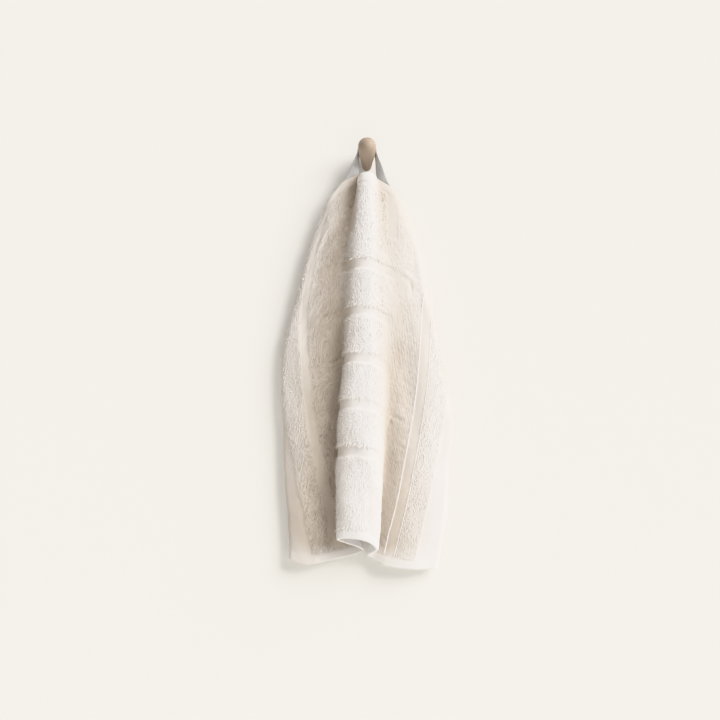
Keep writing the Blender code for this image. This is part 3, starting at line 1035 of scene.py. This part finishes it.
def peg_frame():
    """The peg's axis, pointing out and up from the wall, and the direction square to it, pointing up."""
    axis = np.array((0.0, -math.cos(PEG_TILT), math.sin(PEG_TILT)))
    upper = np.array((0.0, math.sin(PEG_TILT), math.cos(PEG_TILT)))
    return axis, upper


def peg_radius(along):
    return smooth(along, [s.along for s in PEG_OUTLINE], [s.radius for s in PEG_OUTLINE])


def turned_between(start, end, share):
    """A unit direction turned evenly from start to end."""
    return np.array(Vector(start).slerp(Vector(end), float(share)))


def tape_over_peg():
    """The tape's outer edge and width direction at each step over the peg, from left to right."""
    axis, upper = peg_frame()
    half = TAPE_WIDTH / 2
    over = []
    for k in range(-WRAP_STEPS, WRAP_STEPS + 1):
        angle = TAPE_WRAP * k / WRAP_STEPS
        normal = np.array((math.sin(angle), 0, 0)) + upper * math.cos(angle)
        along = TAPE_OUT / math.cos(PEG_TILT)
        for _ in range(3):
            lift = peg_radius(along) + FIT_GAP + TAPE_THICKNESS / 2
            along = (TAPE_OUT + normal[1] * lift) / math.cos(PEG_TILT)
        flare = (peg_radius(along + half) - peg_radius(along - half)) / TAPE_WIDTH
        tangent = unit(np.array((normal[2], 0, -normal[0])))
        width = np.cross(tangent, normal)
        width = unit(width + normal * flare * width.dot(axis))
        over.append((axis * along + normal * lift + width * half, width))
    return over


def tape_leg(leg, start, start_width):
    """The steps down a leg, from where it leaves the peg to its end sewn behind the hem."""
    x, out, z = leg.outer
    outer = np.array((x, -out, z))
    wx, wout, wz = leg.width
    width = unit(np.array((wx, -wout, wz)))
    run = []
    for k in range(1, LEG_STEPS + 1):
        share = k / LEG_STEPS
        run.append((mixed(start, outer, share), turned_between(start_width, width, soft_step(share, 0, 1))))
    onward = outer - start
    onward = unit(onward - width * onward.dot(width))
    for k in range(1, SEWN_STEPS + 1):
        share = k / SEWN_STEPS
        point = outer + onward * SEWN_LENGTH * share
        point[1] = -mixed(out, leg.sewn_out, share)
        run.append((point, width))
    return run


def make_tape(material):
    """The loop: one woven tape with rounded selvedges, sewn at both ends to the back of the hem."""
    over = tape_over_peg()
    left, right = (tape_leg(leg, *end) for leg, end in zip(LEGS, (over[0], over[-1])))
    stations = left[::-1] + over + right
    across = np.linspace(0.0, 1.0, TAPE_COLUMNS)
    from_middle = np.abs(across - 0.5) * 2
    rim = np.sqrt(np.clip(1 - from_middle**SELVEDGE_SHARPNESS, SELVEDGE_LEAST, 1.0))
    edges = np.array([p for p, _ in stations])
    along = unit(np.gradient(edges, axis=0))
    length = np.concatenate(([0.0], np.cumsum(np.linalg.norm(np.diff(edges, axis=0), axis=1))))
    points = []
    places = []
    for i, (edge, width) in enumerate(stations):
        thick = unit(np.cross(along[i], width)) * TAPE_THICKNESS / 2
        for side in (1, -1):
            for share, depth in zip(across[::side], rim[::side]):
                points.append((edge - width * TAPE_WIDTH * share + thick * side * depth) * MM)
                places.append((share * TAPE_WIDTH * MM, length[i] * MM))
    ring = 2 * TAPE_COLUMNS
    first, last = range(ring), range(len(points) - ring, len(points))
    tape = mesh_object("loop_tape", points, [*tube_faces(len(stations), ring), first[::-1], last])
    store_uv(tape.data, places)
    tape.data.materials.append(material)
    return tape, length[-1] * MM


def make_peg(material):
    """The peg, turned about its slanted axis and sawn off level with the wall."""
    axis, upper = peg_frame()
    widest = PEG_OUTLINE[-1]
    outline = [(a, float(peg_radius(a))) for a in np.linspace(PEG_START, widest.along, PEG_RINGS)]
    for k in range(DOME_RINGS):
        angle = math.pi / 2 * k / DOME_RINGS
        along = PEG_DOME_CENTRE + PEG_DOME_HEIGHT * math.sin(angle)
        outline.append((along, widest.radius * math.cos(angle)))
    points = []
    for along, radius in outline:
        for k in range(PEG_SIDES):
            turn = math.tau * k / PEG_SIDES
            point = axis * along + (np.array((math.sin(turn), 0, 0)) + upper * math.cos(turn)) * radius
            if point[1] > 0:
                point = point - axis * point[1] / axis[1]
            points.append(point * MM)
    tip = len(points)
    points.append(axis * (PEG_DOME_CENTRE + PEG_DOME_HEIGHT) * MM)
    first = tip - PEG_SIDES
    faces = tube_faces(len(outline), PEG_SIDES)
    faces += [(first + k, first + (k + 1) % PEG_SIDES, tip) for k in range(PEG_SIDES)]
    peg = mesh_object("turned_peg", points, [*faces, range(PEG_SIDES)[::-1]])
    peg.data.materials.append(material)
    return peg


# ---- The stage ----


def backdrop(name, corners, material):
    thing = mesh_object(name, corners, [range(4)])
    thing.data.materials.append(material)
    return thing


def make_backdrops(colour):
    """The wall, which casts no shadow and is clear from behind, and the floor."""
    low, high, reach = FLOOR_Z, WALL_HALF, FLOOR_REACH
    corners = [(-high, 0, low), (high, 0, low), (high, 0, high), (-high, 0, high)]
    wall = backdrop("backdrop", corners, stage_material("pale_wall", colour, True))
    wall.visible_shadow = False
    corners = [(-reach, -reach, low), (reach, -reach, low), (reach, reach, low), (-reach, reach, low)]
    backdrop("floor", corners, stage_material("pale_floor", colour, False))


def make_sun(name, strength, spread, towards, colour):
    light = bpy.data.lights.new(name, "SUN")
    light.energy = strength
    light.angle = spread
    light.color = colour
    placed(name, light).rotation_euler = Vector(towards).to_track_quat("-Z", "Y").to_euler()


def make_world(strength):
    """Even white light all round, behind a pale sky that only the camera sees."""
    world = bpy.data.worlds.new("studio")
    world.use_nodes = True
    bpy.context.scene.world = world
    tree = world.node_tree
    fill = tree.nodes["Background"]
    fill.inputs["Color"].default_value = (*WHITE, 1.0)
    fill.inputs["Strength"].default_value = strength
    seen = add_node(tree, "ShaderNodeBackground", Color=SKY_COLOUR, Strength=1.0).outputs[0]
    ray = add_node(tree, "ShaderNodeLightPath").outputs["Is Camera Ray"]
    mixed_shader(tree, ray, fill.outputs[0], seen, "World Output")


def make_camera():
    data = bpy.data.cameras.new("camera")
    data.lens = CAMERA_LENS
    data.sensor_width = CAMERA_SENSOR
    camera = placed("camera", data)
    camera.location = CAMERA_PLACE
    camera.rotation_euler = (math.pi / 2, 0.0, 0.0)
    bpy.context.scene.camera = camera


# ---- Operators ----


class TOWEL_OT_cloth(bpy.types.Operator):
    """Makes the towel with its woven relief, its pile of loops and its ribs"""

    bl_idname = "towel.cloth"
    bl_label = "Terry Towel"

    def execute(self, context):
        settings = context.scene.towel_cloth
        pile = context.scene.towel_pile
        cloth = HungCloth(settings)
        loops = loop_material(settings)
        towel = make_cloth(cloth, cotton_material(settings))
        front = make_pile(cloth, 1, "front_pile", pile, loops)
        back = make_pile(cloth, -1, "back_pile", pile, loops)
        ribs = make_ribs(cloth, loops)
        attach(towel, BODY)
        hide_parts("towel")
        for piece in (front, back, ribs):
            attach(piece, BODY)
        return {"FINISHED"}


class TOWEL_OT_tape(bpy.types.Operator):
    """Makes the hanging loop of woven tape"""

    bl_idname = "towel.tape"
    bl_label = "Tape Loop"

    def execute(self, context):
        tape, length = make_tape(tape_material(context.scene.towel_tape))
        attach(tape, BODY)
        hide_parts("hanging_loop")
        return {"FINISHED"}


class TOWEL_OT_peg(bpy.types.Operator):
    """Makes the turned wooden peg"""

    bl_idname = "towel.peg"
    bl_label = "Wall Peg"

    def execute(self, context):
        peg = make_peg(wood_material(context.scene.towel_peg))
        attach(peg, BODY)
        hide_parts("wall_peg")
        return {"FINISHED"}


class TOWEL_OT_stage(bpy.types.Operator):
    """Makes the pale wall and floor, the soft lights and the camera"""

    bl_idname = "towel.stage"
    bl_label = "Stage"

    def execute(self, context):
        settings = context.scene.towel_stage
        make_backdrops(settings.wall_colour)
        make_sun("key", settings.key_strength, settings.key_spread, KEY_WAY, WHITE)
        make_sun("back_glow", GLOW_STRENGTH, GLOW_SPREAD, GLOW_WAY, GLOW_COLOUR)
        make_world(settings.fill_strength)
        make_camera()
        context.scene.view_settings.view_transform = "Khronos PBR Neutral"
        context.scene.view_settings.look = "None"
        return {"FINISHED"}


class TOWEL_PT_sidebar(bpy.types.Panel):
    """Lists the towel's pieces and the sizes and colours that can be changed"""

    bl_idname = "TOWEL_PT_sidebar"
    bl_label = "Hand Towel"
    bl_space_type = "VIEW_3D"
    bl_region_type = "UI"
    bl_category = "Hand Towel"

    def draw(self, context):
        scene = context.scene
        for group, operator in (
            (scene.towel_cloth, TOWEL_OT_cloth),
            (scene.towel_pile, None),
            (scene.towel_tape, TOWEL_OT_tape),
            (scene.towel_peg, TOWEL_OT_peg),
            (scene.towel_stage, TOWEL_OT_stage),
        ):
            box = self.layout.box()
            for name in group.bl_rna.properties.keys():
                if name not in {"rna_type", "name"}:
                    box.prop(group, name)
            if operator:
                box.operator(operator.bl_idname)


SETTINGS = (
    ("towel_cloth", TowelClothSettings),
    ("towel_pile", TowelPileSettings),
    ("towel_tape", TowelTapeSettings),
    ("towel_peg", TowelPegSettings),
    ("towel_stage", TowelStageSettings),
)
CLASSES = (TOWEL_OT_cloth, TOWEL_OT_tape, TOWEL_OT_peg, TOWEL_OT_stage, TOWEL_PT_sidebar)


def register():
    for name, group in SETTINGS:
        bpy.utils.register_class(group)
        setattr(bpy.types.Scene, name, PointerProperty(type=group))
    for kind in CLASSES:
        bpy.utils.register_class(kind)


def unregister():
    for kind in reversed(CLASSES):
        bpy.utils.unregister_class(kind)
    for name, group in reversed(SETTINGS):
        delattr(bpy.types.Scene, name)
        bpy.utils.unregister_class(group)


def main():
    register()
    bpy.ops.towel.stage()
    bpy.ops.towel.peg()
    bpy.ops.towel.tape()
    bpy.ops.towel.cloth()


if __name__ == "__main__":
    main()
